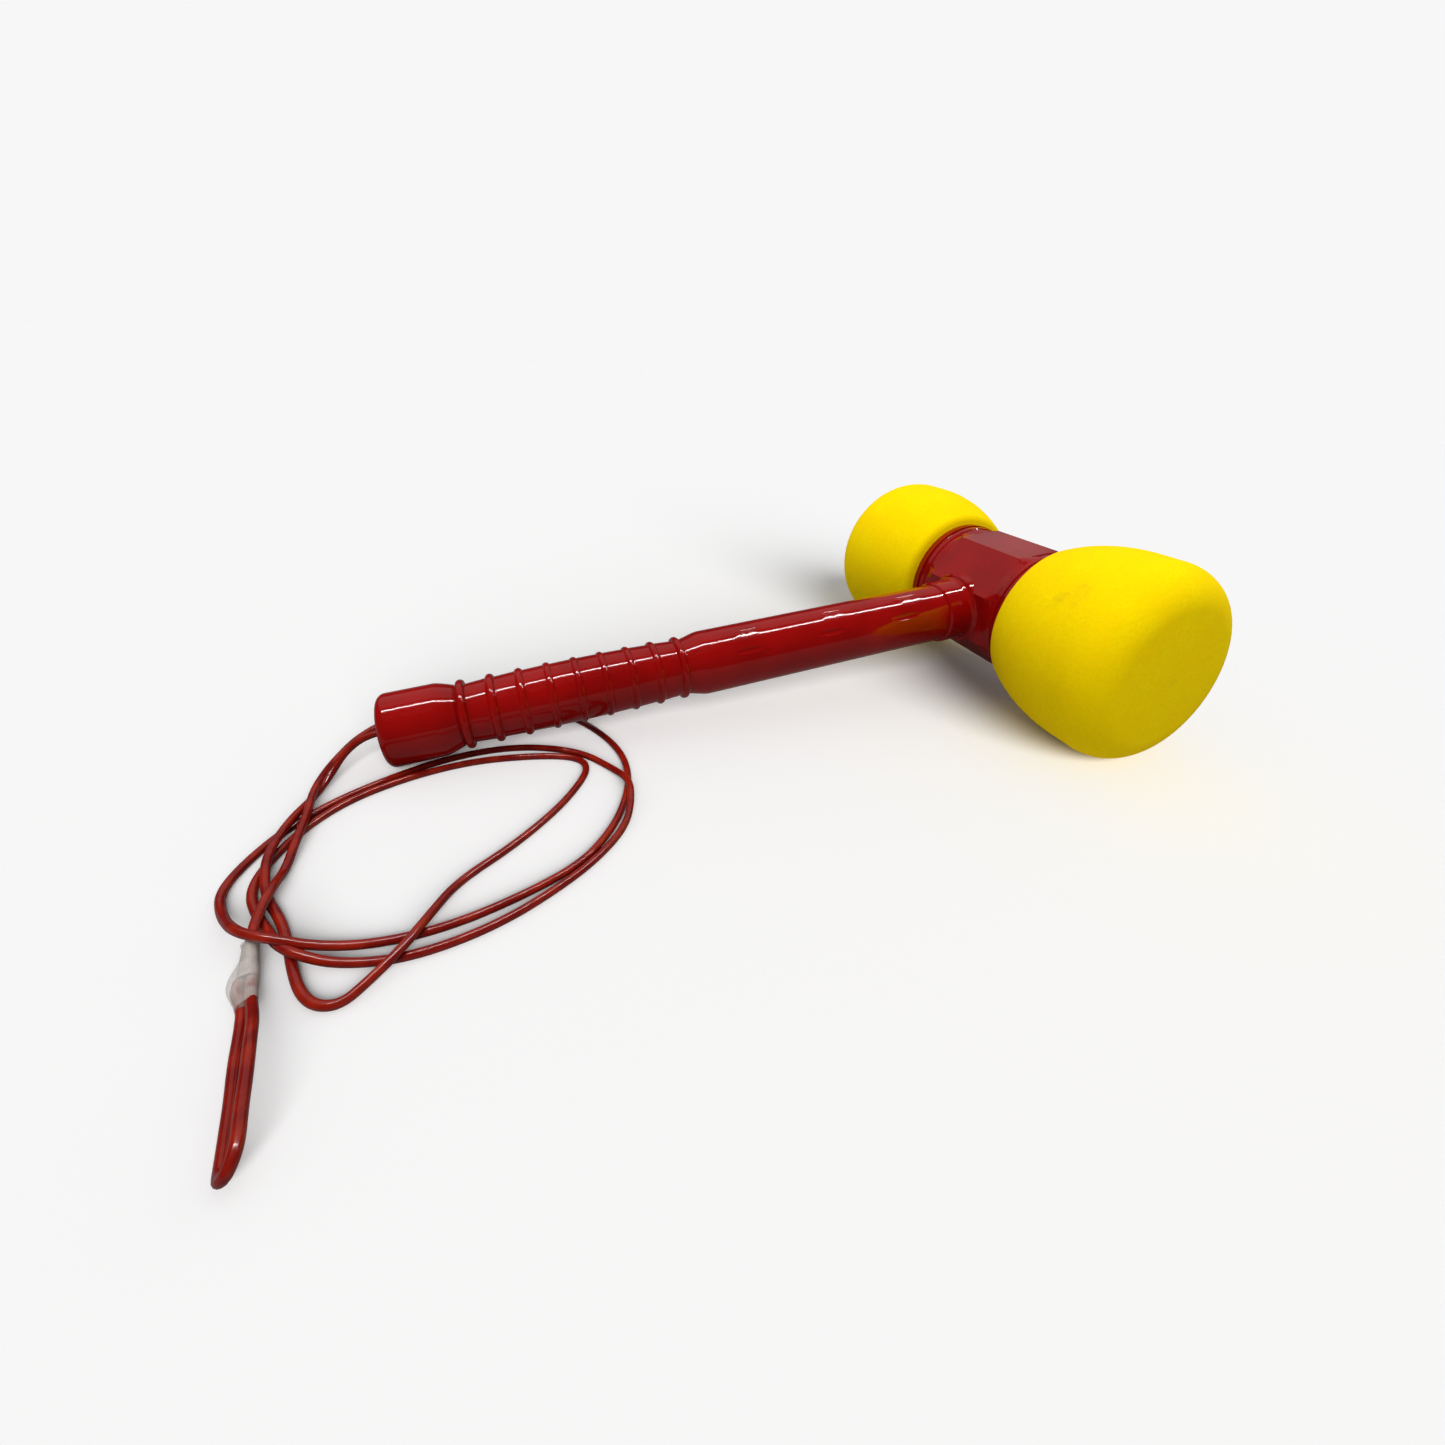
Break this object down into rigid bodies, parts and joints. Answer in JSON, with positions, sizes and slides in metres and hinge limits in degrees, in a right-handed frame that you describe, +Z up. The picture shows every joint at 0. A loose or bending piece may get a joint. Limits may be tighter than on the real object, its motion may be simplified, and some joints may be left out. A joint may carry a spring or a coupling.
{
  "type": "soft foam mallet",
  "caption": "Lightweight double-faced mallet with soft foam heads, a ribbed vinyl-covered handle and a coated wire tether ending in a crimped eye.",
  "frame": {"origin": "bottom centre of the rigid mallet's bounding box (tether left out), on the floor it lies on", "axes": "+X along the handle towards the head, +Y along the head axis, +Z up"},
  "size_m": [0.3857, 0.2426, 0.0936],
  "materials": {
    "red_vinyl": "glossy dipped vinyl",
    "yellow_foam": "matte closed-cell foam",
    "tether_jacket": "glossy translucent jacket over wire rope",
    "clear_shrink": "clear heat-shrink film",
    "bare_steel": "crimped, dull",
    "tube_steel": "plain tube",
    "zinc_steel": "zinc plated",
    "core_plastic": "moulded, matte"
  },
  "bodies": {
    "root": {"head_tee": "red_vinyl", "collar_left": "red_vinyl", "collar_right": "red_vinyl", "foam_anchor_left": "core_plastic", "foam_anchor_right": "core_plastic", "foam_head_left": "yellow_foam", "foam_head_right": "yellow_foam", "tie_rod": "zinc_steel", "tie_washers": "zinc_steel", "tie_nuts": "zinc_steel", "cross_pin": "zinc_steel", "handle_tube": "tube_steel", "neck_band": "red_vinyl", "handle_core": "core_plastic", "shaft_sleeve": "red_vinyl", "handle_skin": "red_vinyl", "butt_sleeve": "red_vinyl", "butt_plug": "core_plastic", "cable_stop": "bare_steel", "stop_washer": "zinc_steel", "inner_cable": "tether_jacket", "tether_cable": "tether_jacket", "crimp_ferrule": "bare_steel", "clear_sleeve": "clear_shrink", "cable_eye": "tether_jacket", "grip_ring_1": "core_plastic", "grip_ring_2": "core_plastic", "grip_ring_3": "core_plastic", "grip_ring_4": "core_plastic", "grip_ring_5": "core_plastic", "grip_ring_6": "core_plastic", "grip_ring_7": "core_plastic", "grip_ring_8": "core_plastic", "grip_ring_9": "core_plastic"}
  },
  "joints": []
}
